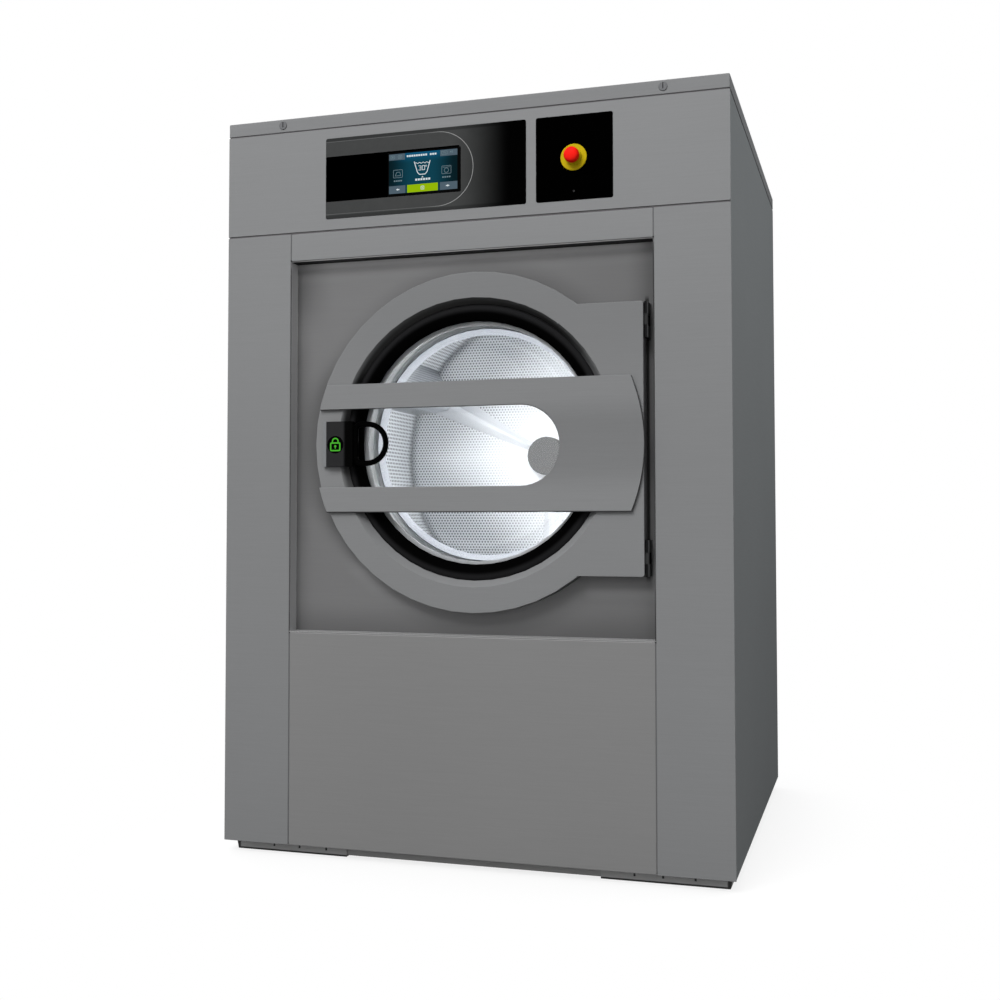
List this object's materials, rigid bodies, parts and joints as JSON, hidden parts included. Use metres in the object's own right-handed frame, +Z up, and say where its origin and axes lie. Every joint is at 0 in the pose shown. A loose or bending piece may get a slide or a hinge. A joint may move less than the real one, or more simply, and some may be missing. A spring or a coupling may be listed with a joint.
{
  "type": "washer-extractor",
  "caption": "Free-standing front-loading washer-extractor in grey sheet steel, with a recessed round door, touch panel and emergency stop.",
  "frame": {"origin": "centre of the footprint, on the floor under the foot shoes", "axes": "+X to the right as one faces the door, +Y into the machine, +Z up"},
  "size_m": [1.1, 1.0418, 1.5955],
  "materials": {
    "grey_paint": "satin grey with a fine grain",
    "dark_paint": "satin dark grey",
    "steel": "bright stainless steel",
    "zinc": "zinc plated",
    "cast_iron": "rough cast",
    "aluminium": "cast",
    "brass": "machined",
    "black_plastic": "satin black",
    "black_gloss": "glossy black",
    "screen": "glossy screen with a teal picture",
    "yellow_plastic": "satin yellow",
    "red_plastic": "glossy red",
    "rubber": "matt black",
    "glass": "clear"
  },
  "bodies": {
    "cabinet": {"base_frame": "dark_paint", "foot_front_left": "dark_paint", "foot_front_right": "dark_paint", "foot_rear_left": "dark_paint", "foot_rear_right": "dark_paint", "side_panel_left": "grey_paint", "side_panel_right": "grey_paint", "rear_panel": "grey_paint", "control_fascia": "grey_paint", "control_box": "zinc", "touch_panel": "black_gloss", "display": "screen", "stop_panel": "black_gloss", "stop_collar": "yellow_plastic", "indicator_lens": "black_plastic", "upright_left": "grey_paint", "upright_right": "grey_paint", "filler_panel": "grey_paint", "service_panel": "grey_paint", "door_surround": "grey_paint", "door_seal": "rubber", "door_lock_case": "black_plastic", "hinge_bracket_upper": "zinc", "hinge_bracket_lower": "zinc", "water_inlet_cold": "brass", "water_inlet_hot": "brass", "cable_gland": "black_plastic", "drain_valve": "black_plastic", "spring_1": "zinc", "spring_2": "zinc", "spring_3": "zinc", "spring_4": "zinc"},
    "door": {"door_frame": "grey_paint", "door_bezel": "black_plastic", "door_glass": "glass", "door_bridge": "grey_paint", "latch_block": "black_plastic", "latch_plate": "steel"},
    "latch": {"latch_loop": "black_plastic"},
    "stop_plunger": {"stop_stem": "black_plastic"},
    "stop_button": {"stop_head": "red_plastic"},
    "lid": {"top_lid": "grey_paint"},
    "left_lock": {"lid_lock_left": "steel"},
    "right_lock": {"lid_lock_right": "steel"},
    "tub": {"tub_shell": "steel", "tub_front": "steel", "bearing_housing": "cast_iron", "tub_cradle": "dark_paint", "motor": "cast_iron", "drive_belt": "rubber"},
    "drum": {"drum_basket": "steel", "drum_back": "steel", "lifter_1": "steel", "lifter_2": "steel", "lifter_3": "steel", "hub_cap": "steel", "drum_spider": "aluminium", "drum_pulley": "cast_iron"},
    "motor_rotor": {"motor_pulley": "cast_iron"}
  },
  "joints": [
    {"name": "door_hinge", "type": "hinge", "parent": "cabinet", "child": "door", "pos_m": [0.3825, -0.4939, 0.87925], "axis": [0, 0, 1], "range_deg": [0, 110]},
    {"name": "latch_pull", "type": "hinge", "parent": "door", "child": "latch", "pos_m": [-0.2358, -0.50705, 0.87925], "axis": [0, 0, -1], "range_deg": [0, 40], "stiffness_Nm_per_rad": 0.2},
    {"name": "stop_press", "type": "slide", "parent": "cabinet", "child": "stop_plunger", "axis": [0, 1, 0], "range_m": [0, 0.004], "stiffness_N_per_m": 2000},
    {"name": "stop_twist", "type": "hinge", "parent": "stop_plunger", "child": "stop_button", "pos_m": [0.235, -0.4899, 1.4545], "axis": [0, 1, 0], "range_deg": [0, 45], "stiffness_Nm_per_rad": 0.1},
    {"name": "lid_hinge", "type": "hinge", "parent": "cabinet", "child": "lid", "pos_m": [0, 0.5209, 1.567], "axis": [-1, 0, 0], "range_deg": [0, 60]},
    {"name": "lid_lock_left_turn", "type": "hinge", "parent": "lid", "child": "left_lock", "pos_m": [-0.418, -0.4899, 1.5814], "axis": [0, 1, 0], "range_deg": [0, 90]},
    {"name": "lid_lock_right_turn", "type": "hinge", "parent": "lid", "child": "right_lock", "pos_m": [0.418, -0.4899, 1.5814], "axis": [0, -1, 0], "range_deg": [0, 90]},
    {"name": "suspension", "type": "slide", "parent": "cabinet", "child": "tub", "axis": [0, 0, 1], "range_m": [-0.006, 0.006], "stiffness_N_per_m": 120000, "springref_m": 0.02573, "deforming": ["spring_1", "spring_2", "spring_3", "spring_4"]},
    {"name": "drum_spin", "type": "hinge", "parent": "tub", "child": "drum", "pos_m": [0.021, -0.4899, 0.87925], "axis": [0, 1, 0], "continuous": true},
    {"name": "motor_spin", "type": "hinge", "parent": "tub", "child": "motor_rotor", "pos_m": [0.021, -0.4899, 0.25], "axis": [0, 1, 0], "continuous": true}
  ],
  "couplings": [
    {"joint": "motor_spin", "follows": "drum_spin", "ratio": 4.2222}
  ]
}
